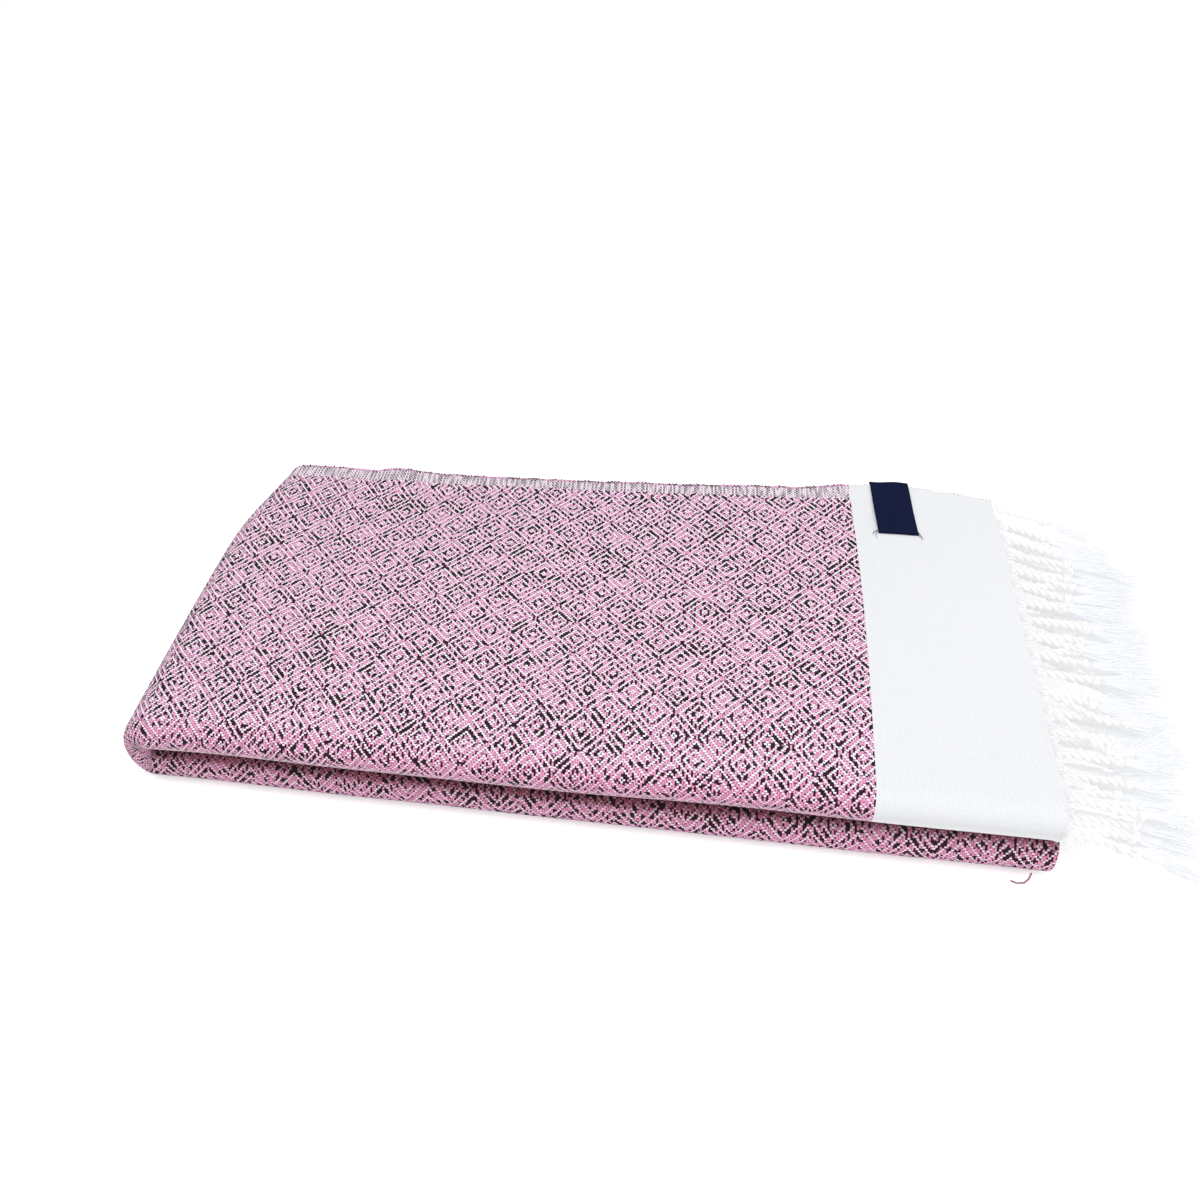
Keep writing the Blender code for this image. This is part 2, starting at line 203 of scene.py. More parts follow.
def smooth(value, low, high):
    """0 below low, 1 above high, and a smooth rise between them."""
    share = min(max((value - low) / (high - low), 0.0), 1.0)
    return share * share * (3 - 2 * share)


def section_point(stretch, share):
    """(y, height, outward y, outward height) at a share of one stretch of the folded width."""
    name, kind, first, second, level, start, end, steps = stretch
    if kind == "flat":
        way = 1 if second > first else -1
        return first + (second - first) * share, level * LAYER_PITCH, 0.0, float(-way)
    angle = math.radians(start + (end - start) * share)
    radius = second * LAYER_PITCH
    side = 1 if name != "inner_front" else -1
    return (first + radius * math.cos(angle), level * LAYER_PITCH + radius * math.sin(angle),
            side * math.cos(angle), side * math.sin(angle))


def uneven(x, y, z):
    """The cloth's own unevenness, as a smooth shift of every layer together. The underside stays flat."""
    base = CLOTH_THICKNESS / 2
    along = (x + PACKET_LENGTH / 2) / PACKET_LENGTH
    across = min(max((y - FRONT_Y) / PACKET_DEPTH, 0.0), 1.0)
    crown = math.sin(math.pi * min(max(along, 0.0), 1.0)) * math.sin(math.pi * across)
    rise = MIDDLE_RISE * crown - LEFT_SAG * (1 - smooth(along, 0.0, 0.16)) * (1 - across / 2)
    rise += sum(share * math.sin(a * along + b * across + start) for share, a, b, start in HEIGHT_WAVES)
    wave = sum(size * math.sin(a * along + start) for size, a, start in EDGE_WAVES)

    at_left = 1 - smooth(along, 0.02, 0.34)
    at_top = smooth(z, 0.5 * MID_HEIGHT, 1.25 * MID_HEIGHT)
    at_front = 1 - smooth(across, 0.05, 0.8)
    pull = (LEFT_CORNER_PULL * smooth(across, 0.62, 1.04) ** 1.5 + LEFT_FRONT_PULL * (1 - across)
            - LEFT_EDGE_BULGE * math.sin(math.pi * across) + LEFT_LEAN * (z - MID_HEIGHT))
    recess = FRONT_RECESS * smooth(along, -0.05, 0.65) - BAND_ADVANCE * smooth(along, 0.70, 1.0)
    back = (BACK_EASE * smooth(along, 0.1, 0.4) + BAND_WIDENING * smooth(along, 0.45, 0.85)
            - BACK_NARROWING) * across ** 2
    recess *= 1 - LIP_SAG * (1 - smooth(across, 0.04, 0.20))
    low = BOTTOM_ADVANCE * smooth(along, 0.50, 0.70) * (1 - smooth(across, 0.0, 0.3)) * (1 - at_top)
    corner = HEM_CORNER * (1 - across) * smooth(along, 0.8, 1.0)
    return (x + pull * at_left + corner * at_top,
            y + recess * at_top * at_front - low + back * (0.4 + 0.6 * at_top) + wave * (1 + across) / 2,
            base + (z - base) * (1 + rise))


def lay(run, y, height):
    """World place of a point of the folded strip, at a run from the hem, a y and a height in its packet."""
    if run <= RUN:
        return uneven(HEM_X - run, y, MID_HEIGHT + TURN_RADIUS + height)
    if run >= RUN + TURN_ARC:
        return uneven(TURN_X + run - RUN - TURN_ARC, y, MID_HEIGHT - TURN_RADIUS - height)
    angle = (run - RUN) / TURN_RADIUS
    radius = TURN_RADIUS + height
    tuck = TURN_TUCK * math.sin(angle) ** 2 * (PACKET_HALF - height) / (2 * PACKET_HALF)
    return uneven(TURN_X - TURN_SQUEEZE * radius * math.sin(angle), y + tuck * (BACK_Y - y) / PACKET_DEPTH,
                  MID_HEIGHT + radius * math.cos(angle))


def run_stations():
    """(run, side) all along the doubled strip: the outer ply from its hem, the end fold, the inner ply."""
    runs = [RUN * k / TOP_STEPS for k in range(TOP_STEPS)]
    runs += [RUN + TURN_ARC * k / TURN_STEPS for k in range(TURN_STEPS)]
    runs += [RUN + TURN_ARC + (RUN + BOTTOM_OVERHANG) * k / BOTTOM_STEPS for k in range(BOTTOM_STEPS)]
    outer = [(run, 1.0) for run in runs]
    half = LAYER_PITCH / 2
    ends = [math.pi * k / END_FOLD_STEPS for k in range(END_FOLD_STEPS + 1)]
    fold = [(STRIP_END + half * math.sin(angle) - half, math.cos(angle)) for angle in ends]
    return outer + fold + [(run, -1.0) for run, side in reversed(outer)]


# How the real selvedge on top strays from the even fold: outwards, in and out again, and up a little.
SELVEDGE_STRAYS = (
    # from_hem  outwards
    (0.000,     -0.0016),
    (0.025,     0.0010),
    (0.055,     0.0041),
    (0.085,     0.0029),
    (0.120,     -0.0007),
    (0.155,     -0.0003),
    (0.190,     0.0005),
    (0.220,     0.0022),
    (0.250,     0.0018),
    (0.290,     0.0014),
    (0.310,     0.0014),
    (0.340,     0.0019),
    (0.380,     0.0037),
    (0.400,     0.0000),
    (0.430,     0.0006),
    (0.466,     0.0000),
)
RIPPLE = 0.0003                # and a fine ripple besides
RIPPLES_PER_METRE = 57.0
STRAY_DEPTH = 0.022            # the strays die out this far in from the edge
STRAY_LIFT = 0.3               # how far the edge lifts, as a share of how far it strays
OUTER_TURN_RADIUS = TURN_RADIUS + PACKET_HALF + LAYER_PITCH / 2
OUTER_TURN_ARC = math.pi * OUTER_TURN_RADIUS * math.sqrt((1 + TURN_SQUEEZE ** 2) / 2)


def stray(run, width):
    """(outwards, lift) of the top selvedge at this run from the hem and width from the selvedge."""
    outwards = RIPPLE * math.sin(2 * math.pi * RIPPLES_PER_METRE * run)
    for (before, first), (after, second) in zip(SELVEDGE_STRAYS, SELVEDGE_STRAYS[1:]):
        if before <= run < after:
            outwards += first + (second - first) * smooth(run, before, after)
    outwards *= (1 - smooth(width, 0.0, STRAY_DEPTH)) * (1 - smooth(run, 0.85 * RUN, RUN))
    return outwards, STRAY_LIFT * outwards


def woven_length(run, side):
    """Metres of cloth from the outer hem. Round the turn every layer takes the length of the outermost."""
    length = run
    if run > RUN:
        length += (OUTER_TURN_ARC / TURN_ARC - 1) * min(run - RUN, TURN_ARC)
    if side >= 0:
        return length
    return 2 * WOVEN_HALF - length


WOVEN_HALF = STRIP_END + OUTER_TURN_ARC - TURN_ARC + math.pi * LAYER_PITCH / 4

widths = [0.0]
stations = [section_point(SECTION[0], 0.0)]
for stretch in SECTION:
    steps = stretch[-1]
    flat = stretch[1] == "flat"
    length = (abs(stretch[3] - stretch[2]) if flat else math.pi * (stretch[3] + 0.5) * LAYER_PITCH)
    start = widths[-1]
    for k in range(1, steps + 1):
        stations.append(section_point(stretch, k / steps))
        widths.append(start + length * k / steps)
WOVEN_WIDTH = widths[-1]

# How the weave lies in the packet. It is a little askew, more so towards the turn: the first three numbers
# lengthen the way along the cloth, the others the way across.
SKEW_ALONG = 0.0288
SKEW_ALONG_GROWTH = 0.189
SKEW_ALONG_BOW = -0.139
SKEW_ACROSS = 0.0483
SKEW_ACROSS_GROWTH = -0.0369
SKEW_ACROSS_BOW = -0.0912
SQUEEZE_ACROSS = 0.2335
SKEW_RUN_LIMIT = 0.46
SKEW_WIDTH_LIMIT = 0.25


def weave_place(length, width):
    """Metres along and across the weave itself, at a length and width of the folded cloth."""
    far = length > WOVEN_HALF
    run = min(2 * WOVEN_HALF - length if far else length, SKEW_RUN_LIMIT)
    wide = min(width, SKEW_WIDTH_LIMIT)
    along = SKEW_ALONG * wide + SKEW_ALONG_GROWTH * run * wide + SKEW_ALONG_BOW * wide * wide
    across = (SKEW_ACROSS * run + SKEW_ACROSS_GROWTH * run * wide + SKEW_ACROSS_BOW * run * run
              + SQUEEZE_ACROSS * wide * wide)
    return length + (-along if far else along), width + across


def add_mark(data, title, values):
    """A number at each point of a mesh, for its material to read."""
    data.attributes.new(title, "FLOAT", "POINT").data.foreach_set("value", values.astype(np.float32))


def sheet_mesh(name, middle, thickness, places):
    """A closed thin sheet about a grid of middle points, with a UV map of the cloth's own metres."""
    middle = np.array(middle)
    rows, columns = middle.shape[:2]
    normal = np.cross(np.gradient(middle, axis=0), np.gradient(middle, axis=1))
    normal /= np.linalg.norm(normal, axis=2, keepdims=True)
    count = rows * columns
    points = np.concatenate([(middle + normal * thickness / 2).reshape(-1, 3),
                             (middle - normal * thickness / 2).reshape(-1, 3)])
    index = np.arange(count).reshape(rows, columns)
    quads = np.stack([index[:-1, :-1], index[1:, :-1], index[1:, 1:], index[:-1, 1:]], -1).reshape(-1, 4)
    loops = [quads, quads[:, ::-1] + count]
    for line, flip in ((index[:, 0], True), (index[:, -1], False), (index[0], False), (index[-1], True)):
        rim = np.stack([line[:-1], line[1:], line[1:] + count, line[:-1] + count], -1)
        loops.append(rim[:, ::-1] if flip else rim)
    data = bpy.data.meshes.new(name)
    data.from_pydata(points.tolist(), [], np.concatenate(loops).tolist())
    places = np.array(places).reshape(-1, 2)
    corners = np.empty(len(data.loops), dtype=np.int32)
    data.loops.foreach_get("vertex_index", corners)
    layer = data.uv_layers.new(name="cloth_metres")
    layer.uv.foreach_set("vector", places[corners % count].astype(np.float32).ravel())
    add_mark(data, "reverse", np.repeat([0.0, 1.0], count))
    data.shade_smooth()
    data.set_sharp_from_angle(angle=math.radians(50))
    piece = bpy.data.objects.new(name, data)
    bpy.context.scene.collection.objects.link(piece)
    return piece


half_pitch = LAYER_PITCH / 2
middle, places = [], []
for run, side in run_stations():
    length = woven_length(run, side)
    line, place = [], []
    for width, (y, height, out_y, out_h) in zip(widths, stations):
        outwards, lift = stray(run, width) if side > 0 else (0.0, 0.0)
        line.append(lay(run, y + half_pitch * side * out_y + outwards,
                        height + half_pitch * side * out_h + lift))
        place.append(weave_place(length, width))
    middle.append(line)
    places.append(place)
cloth = sheet_mesh("towel_cloth", middle, CLOTH_THICKNESS, places)

# Marks for the front folds, on the outer ply: where the fold stretches the weft and faces the front, for
# the weave's crowding and for a painted shade there; how far round the top packet's lip a place is, from 0
# on top to 1 beneath, for a painted light on its rim; and how far into the gap on the bottom one's, for a
# painted shade and shadow there.
# The last mark is how far in from its selvedge a place is.
GAP_SHADE_EASE = 0.08                # the painted shade in the gap is this much lighter at the hem
GAP_EASE_RUNS = (STRIP_END - 0.22, STRIP_END - 0.04)
TURN_EASE = 0.15               # the fold is stretched, and painted darker, this much less near the turn
TURN_EASE_RUNS = (0.45 * RUN, 0.75 * RUN)
STRETCH_CURVE = 0.7            # below 1, the stretch and its painted shade start sooner round the fold
marks = {"stretched_and_front_shade": [], "lip": [], "gap": [], "from_edge": []}
for run, side in run_stations():
    bottom = smooth(run, RUN, RUN + TURN_ARC)
    gap_shade_kept = 1 - GAP_SHADE_EASE * smooth(run, *GAP_EASE_RUNS)
    tight = 1 - TURN_EASE * smooth(run, *TURN_EASE_RUNS)
    for width, (y, height, out_y, out_h) in zip(widths, stations):
        front = max(0.0, -out_y) ** STRETCH_CURVE * tight if side > 0 else 0.0
        around = (0.5 - 0.5 * out_h) if front > 0 else 0.0
        marks["stretched_and_front_shade"].append(front)
        marks["lip"].append(around * (1 - bottom))
        marks["gap"].append(around * bottom * gap_shade_kept)
        marks["from_edge"].append(min(width, WOVEN_WIDTH - width))
for title, values in marks.items():
    add_mark(cloth.data, title, np.tile(values, 2))

PICK_PITCH = 0.0010737         # from one weft thread to the next, along the cloth
END_PITCH = 0.0012023          # from one warp thread to the next, across it
HALF_DIAMOND = 11.0            # threads from a diamond's middle to its edge
FIRST_PICK = -8.03             # places the diamonds along and across
FIRST_END = 6.094
BAND_LENGTH = 0.0862           # plain white cloth at each end
SELVEDGE_WIDTH = 0.0152        # plain-woven strip along each selvedge


def work(tree, operation, *values):
    """A Math node on numbers or sockets, and its result."""
    node = tree.nodes.new("ShaderNodeMath")
    node.operation = operation
    for socket, value in zip(node.inputs, values):
        if isinstance(value, (int, float)):
            socket.default_value = value
        else:
            tree.links.new(value, socket)
    return node.outputs[0]


def ramp(tree, value, low, high):
    """0 below low and 1 above high, with a smooth rise between."""
    node = tree.nodes.new("ShaderNodeMapRange")
    node.interpolation_type = "SMOOTHSTEP"
    tree.links.new(value, node.inputs["Value"])
    node.inputs["From Min"].default_value = low
    node.inputs["From Max"].default_value = high
    return node.outputs["Result"]


def mix_colours(tree, share, first, second, blend="MIX"):
    """The first colour mixed with the second by a share, and the result."""
    node = tree.nodes.new("ShaderNodeMix")
    node.data_type = "RGBA"
    node.blend_type = blend
    for socket, value in ((node.inputs[0], share), (node.inputs[6], first), (node.inputs[7], second)):
        if isinstance(value, (int, float, tuple)):
            socket.default_value = value
        else:
            tree.links.new(value, socket)
    return node.outputs[2]


def make_group(name, inputs, outputs):
    """A node group's tree, its input sockets by name, and its output node."""
    tree = bpy.data.node_groups.new(name, "ShaderNodeTree")
    for title, kind in inputs:
        tree.interface.new_socket(title, in_out="INPUT", socket_type="NodeSocket" + kind)
    for title, kind in outputs:
        tree.interface.new_socket(title, in_out="OUTPUT", socket_type="NodeSocket" + kind)
    return tree, tree.nodes.new("NodeGroupInput").outputs, tree.nodes.new("NodeGroupOutput").inputs


def place_group(tree, group, **values):
    """A node that uses the group with these inputs, and its outputs."""
    node = tree.nodes.new("ShaderNodeGroup")
    node.node_tree = group
    for title, value in values.items():
        socket = node.inputs[title.replace("_", " ")]
        if isinstance(value, (int, float, tuple)):
            socket.default_value = value
        else:
            tree.links.new(value, socket)
    return node.outputs


def uv_socket(tree, layer):
    node = tree.nodes.new("ShaderNodeUVMap")
    node.uv_map = layer
    return node.outputs[0]


def split_vector(tree, vector):
    node = tree.nodes.new("ShaderNodeSeparateXYZ")
    tree.links.new(vector, node.inputs[0])
    return node.outputs


def mark_socket(tree, title):
    node = tree.nodes.new("ShaderNodeAttribute")
    node.attribute_name = title
    return node.outputs["Fac"]


def add_bump(tree, shader, height, distance, strength=1.0):
    bump = tree.nodes.new("ShaderNodeBump")
    bump.inputs["Distance"].default_value = distance
    bump.inputs["Strength"].default_value = strength
    tree.links.new(height, bump.inputs["Height"])
    tree.links.new(bump.outputs[0], shader.inputs["Normal"])


YARN_ROUNDNESS = 0.42          # how far a yarn's middle stands above its sides, for the weave's height
CROSSING_WEAR = 0.9            # how uneven the crossings are
YARN_WANDER = 0.35             # how far the yarns stray from their places, in threads
WEFT_CROWDING = 0.50           # the closer the weft is beaten up, the less of the warp shows between it
FOLD_CROWDING = 0.10           # and this much more where the cloth goes over a front fold


def make_weave_group():
    """Which yarn shows and how it lies, from threads counted along and across. The warp crosses over one
    weft thread in four, in point-twill diamonds, or over one in two. Streak is 1 on some weft threads."""
    tree, given, result = make_group(
        "weave",
        [("Cloth", "Vector"), ("Plain", "Float"), ("Reverse", "Float"), ("Crowding", "Float")],
        [("Warp", "Float"), ("Height", "Float"), ("Dark", "Float"), ("Shade", "Float"), ("Worn", "Float"),
         ("Streak", "Float")])
    metres = split_vector(tree, given["Cloth"])
    p = work(tree, "MULTIPLY_ADD", metres["X"], 1 / PICK_PITCH, FIRST_PICK)
    q = work(tree, "MULTIPLY_ADD", metres["Y"], 1 / END_PITCH, FIRST_END)

    def noise_at(x, y, x_scale, y_scale, detail=0.0):
        """Noise of a few threads' size, about 0 to 1."""
        spot = tree.nodes.new("ShaderNodeCombineXYZ")
        tree.links.new(work(tree, "MULTIPLY", x, x_scale), spot.inputs[0])
        tree.links.new(work(tree, "MULTIPLY", y, y_scale), spot.inputs[1])
        noise = tree.nodes.new("ShaderNodeTexNoise")
        noise.noise_dimensions = "2D"
        noise.inputs["Scale"].default_value = 1.0
        noise.inputs["Detail"].default_value = detail
        tree.links.new(spot.outputs[0], noise.inputs["Vector"])
        return noise.outputs

    wander = noise_at(p, q, 0.33, 0.33, 1.0)["Color"]
    wander_split = tree.nodes.new("ShaderNodeSeparateColor")
    tree.links.new(wander, wander_split.inputs[0])
    steady = work(tree, "SUBTRACT", 1.0, given["Plain"])
    p = work(tree, "MULTIPLY_ADD", work(tree, "SUBTRACT", wander_split.outputs[0], 0.5), YARN_WANDER, p)
    q = work(tree, "MULTIPLY_ADD", work(tree, "SUBTRACT", wander_split.outputs[1], 0.5), YARN_WANDER, q)
    pick, end = work(tree, "FLOOR", p), work(tree, "FLOOR", q)

    def lift(still, moving):
        """1 where the warp is uppermost and -1 where the weft is, smooth along one yarn."""
        run = work(tree, "SUBTRACT", moving, 0.5)
        diamond = work(tree, "ADD", work(tree, "PINGPONG", still, HALF_DIAMOND),
                       work(tree, "PINGPONG", run, HALF_DIAMOND))
        tabby = work(tree, "MULTIPLY_ADD", work(tree, "ADD", still, run), 2.0, 1.0)
        phase = work(tree, "ADD", work(tree, "MULTIPLY", diamond, steady),
                     work(tree, "MULTIPLY", tabby, given["Plain"]))
        turned = work(tree, "MULTIPLY", work(tree, "SUBTRACT", phase, 1.0), math.pi / 2)
        flip = work(tree, "MULTIPLY_ADD", given["Reverse"], -2.0, 1.0)
        return work(tree, "MULTIPLY", work(tree, "COSINE", turned), flip)

    def round_yarn(value):
        """A yarn's round section: 1 along its middle and 0 at its sides."""
        away = work(tree, "SUBTRACT", work(tree, "FRACT", value), 0.5)
        return work(tree, "COSINE", work(tree, "MULTIPLY", away, math.pi))

    warp_lift, weft_lift = lift(end, p), lift(pick, q)
    warp_round, weft_round = round_yarn(q), round_yarn(p)
    bias = work(tree, "MULTIPLY", steady, given["Crowding"])
    warp = work(tree, "MULTIPLY_ADD", warp_lift, 0.5, work(tree, "MULTIPLY", warp_round, YARN_ROUNDNESS))
    weft = work(tree, "MULTIPLY_ADD", weft_lift, -0.5,
                work(tree, "MULTIPLY_ADD", weft_round, YARN_ROUNDNESS, bias))
    worn = noise_at(pick, q, 3.7, 0.4)[0]
    wear = work(tree, "MULTIPLY", work(tree, "SUBTRACT", worn, 0.5),
                work(tree, "MULTIPLY", steady, CROSSING_WEAR))
    over = work(tree, "ADD", work(tree, "SUBTRACT", warp, weft), wear)
    is_warp = ramp(tree, over, -0.08, 0.08)
    tree.links.new(is_warp, result["Warp"])

    def of_upper(over, under):
        return work(tree, "ADD", work(tree, "MULTIPLY", over, is_warp),
                    work(tree, "MULTIPLY", under, work(tree, "SUBTRACT", 1.0, is_warp)))

    side = ramp(tree, of_upper(warp_round, weft_round), 0.0, 0.75)
    dip = ramp(tree, of_upper(warp_lift, work(tree, "MULTIPLY", weft_lift, -1.0)), -0.7, 0.6)
    tree.links.new(work(tree, "MULTIPLY", work(tree, "MULTIPLY_ADD", side, 0.72, 0.28),
                        work(tree, "MULTIPLY_ADD", dip, 0.5, 0.5)), result["Shade"])
    tree.links.new(work(tree, "MAXIMUM", warp, weft), result["Height"])

    patchy = work(tree, "MULTIPLY", noise_at(p, q, 0.05, 0.09, 1.0)[0], 0.25)
    dark = work(tree, "ADD", noise_at(pick, q, 7.31, 0.30, 0.5)[0], patchy)
    tree.links.new(ramp(tree, dark, 0.635, 0.675), result["Dark"])
    tree.links.new(worn, result["Worn"])
    tree.links.new(ramp(tree, noise_at(pick, q, 0.83, 0.06, 1.0)[0], 0.42, 0.60), result["Streak"])
    return tree


weave_group = make_weave_group()

WARP_WHITE = (0.97, 0.92, 0.97, 1.0)
WEFT_PINK = (0.73, 0.275, 0.50, 1.0)
WEFT_PALE = (0.87, 0.48, 0.70, 1.0)
WEFT_BLACK = (0.030, 0.008, 0.018, 1.0)
BAND_WHITE = (0.735, 0.745, 0.765, 1.0)
STRIP_WEFT = (0.86, 0.62, 0.76, 1.0)
STRIP_WEFT_DARK = (0.030, 0.020, 0.028, 1.0)
STRIP_WARP_DARK = (0.70, 0.64, 0.69, 1.0)
# The front folds are tinted darker and pinker where they face the front: partly the weft stretched over the
# fold, partly painted shade.
STRETCH_AND_SHADE_TINT = (0.96, 0.76, 0.83, 1.0)
# Painted shade on the bottom packet's front fold under the top packet's lip, and painted shadow deepest in
# the gap between the packets.
SHADE_TINT = (0.76, 0.71, 0.71, 1.0)
GAP_PAINTED_SHADOW = (0.42, 0.26, 0.28, 1.0)
RIM_PAINTED_LIGHT = (0.95, 0.96, 0.97, 1.0)
RIM_PAINTED_LIGHTNESS = 0.38           # painted light where the lip turns under, as if lit from the table below, and most in the band
RIM_PAINTED_LIGHTNESS_BAND = 0.80
BAND_EVENNESS = 0.88           # the fine white cloth of the bands hides this share of its yarns' shading
EDGE_WRAP = 0.75               # the turned weft hides this share of the warp along the selvedge
EDGE_WRAP_WIDTHS = (0.0008, 0.0024)

weave_paint, tree, shader = new_paint("pink_weave_cloth", 0.9, 0.25)
cloth_uv = uv_socket(tree, "cloth_metres")
metres = split_vector(tree, cloth_uv)
along = work(tree, "MINIMUM", metres["X"], work(tree, "SUBTRACT", 2 * WOVEN_HALF, metres["X"]))
far_side = work(tree, "SUBTRACT", weave_place(0.0, WOVEN_WIDTH)[1], metres["Y"])
across = work(tree, "MINIMUM", metres["Y"], far_side)
in_band = work(tree, "LESS_THAN", along, BAND_LENGTH)
in_strip = work(tree, "LESS_THAN", across, SELVEDGE_WIDTH)
plain = work(tree, "MAXIMUM", in_band, in_strip)
mark = {title: mark_socket(tree, title) for title in marks}
crowding = work(tree, "MULTIPLY_ADD", mark["stretched_and_front_shade"], FOLD_CROWDING, WEFT_CROWDING)
weave = place_group(tree, weave_group, Cloth=cloth_uv, Plain=plain, Reverse=mark_socket(tree, "reverse"),
                    Crowding=crowding)
weft = mix_colours(tree, weave["Worn"], WEFT_PINK, WEFT_PALE)
weft = mix_colours(tree, weave["Dark"], weft, WEFT_BLACK)
at_edge = work(tree, "SUBTRACT", 1.0, ramp(tree, mark["from_edge"], *EDGE_WRAP_WIDTHS))
strip_weft = mix_colours(tree, weave["Streak"], STRIP_WEFT, STRIP_WEFT_DARK)
inside_edge = work(tree, "MULTIPLY", in_strip, work(tree, "SUBTRACT", 1.0, at_edge))
weft = mix_colours(tree, inside_edge, weft, strip_weft)
weft = mix_colours(tree, in_band, weft, BAND_WHITE)
streak_in_strip = work(tree, "MULTIPLY", weave["Streak"], in_strip)
strip_warp = mix_colours(tree, streak_in_strip, WARP_WHITE, STRIP_WARP_DARK)
warp = mix_colours(tree, in_band, strip_warp, BAND_WHITE)
warp_shows = work(tree, "MULTIPLY", weave["Warp"], work(tree, "MULTIPLY_ADD", at_edge, -EDGE_WRAP, 1.0))
colour = mix_colours(tree, warp_shows, weft, warp)
shade = work(tree, "MULTIPLY_ADD", weave["Shade"], work(tree, "MULTIPLY_ADD", in_band, -BAND_EVENNESS, 1.0),
             work(tree, "MULTIPLY", in_band, BAND_EVENNESS))
shade_colour = tree.nodes.new("ShaderNodeCombineColor")
for socket in shade_colour.inputs:
    tree.links.new(shade, socket)
colour = mix_colours(tree, 1.0, colour, shade_colour.outputs[0], "MULTIPLY")
# Painted light: the lip is painted whiter where it turns under, as if lit by the white table below, most in
# the band.
painted_rim_light = work(tree, "MULTIPLY", ramp(tree, mark["lip"], 0.45, 0.70),
              work(tree, "MULTIPLY_ADD", in_band, RIM_PAINTED_LIGHTNESS_BAND - RIM_PAINTED_LIGHTNESS, RIM_PAINTED_LIGHTNESS))
colour = mix_colours(tree, painted_rim_light, colour, RIM_PAINTED_LIGHT)
coloured = work(tree, "SUBTRACT", 1.0, in_band)
# Painted shade on the front folds: the tint where they face the front, darker on the bottom packet's fold
# under the lip, and a painted shadow deep in the gap.
for share, tint in ((work(tree, "MULTIPLY", mark["stretched_and_front_shade"], coloured), STRETCH_AND_SHADE_TINT),
                    (ramp(tree, mark["gap"], 0.50, 0.81), SHADE_TINT),
                    (ramp(tree, mark["gap"], 0.78, 0.92), GAP_PAINTED_SHADOW)):
    colour = mix_colours(tree, share, colour, mix_colours(tree, 1.0, colour, tint, "MULTIPLY"))
tree.links.new(colour, shader.inputs["Base Color"])
add_bump(tree, shader, weave["Height"], 0.0003, 0.6)
cloth.data.materials.append(weave_paint)

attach(cloth, "root")
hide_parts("cloth")


# ---- The fringe ----
# The white warp ends at both ends of the cloth. Eleven ends at a time are twisted into a two-ply rope and
# knotted, and fray into fine soft yarns past the knot. Both ends of the cloth lie together at the hem, so
# their strands lie in one thick pile, which is stiff enough to stand out almost level.

STRANDS_PER_LAYER = 18
STRAND_PLACES = (
    # stretch        outer_lane  outer_tip   inner_lane  inner_tip
    ("top",          0,          0.0385,     1,          0.0360),
    ("front_fold",   0,          0.0240,     1,          0.0220),
    ("underside",    3,          0.0080,     2,          0.0110),
    ("inner_under",  0,          0.0200,     1,          0.0170),
    ("inner_front",  3,          0.0230,     2,          0.0210),
    ("inner_top",    3,          0.0310,     2,          0.0280),
)
BACK_DROOP = 0.42              # at the back edge, where nothing is beside it, a tip is this share lower
BACK_DROOP_WIDTH = 0.045
FALL_START = -0.004            # a strand sinks from here, measured out of the hem, to the height of its tip
FALL_END = 0.070
STRAND_START = 0.0050          # the fan of warp ends has become one rope this far out of the hem
KNOT_OUT = 0.0310              # from the hem to the knot
LOOSE_LENGTH = 0.0400          # from the knot to the tips
PLY_RADIUS = 0.00108
PLY_OFFSET = 0.00098           # from the rope's middle to each ply's
TWIST_LENGTH = 0.0090          # one turn of the twist
KNOT_LOOP_RADIUS = 0.00175
KNOT_YARN_RADIUS = 0.00110
KNOT_TURNS = 1.9
ROPE_STEPS = 30
KNOT_STEPS = 18
LOOSE_YARNS = 30
LOOSE_POINTS = 9
LOOSE_YARN_RADIUS = 0.00042
LOOSE_START = 0.0010           # half the width of the loose ends at the knot
LOOSE_SPREAD = 0.0075          # and at their tips
LOOSE_FLATNESS = 0.45          # their height as a share of their width
NEXT_YARN_ANGLE = 2.4          # from one loose yarn's place in the brush to the next, in radians
FRONT_SHORTER = 0.22           # the loose ends near the front are shorter by this share
FAN_ENDS = 11
FAN_YARN_RADIUS = 0.00033
FLOOR_CLEARANCE = 0.0001       # no yarn comes closer than this to the underside's plane


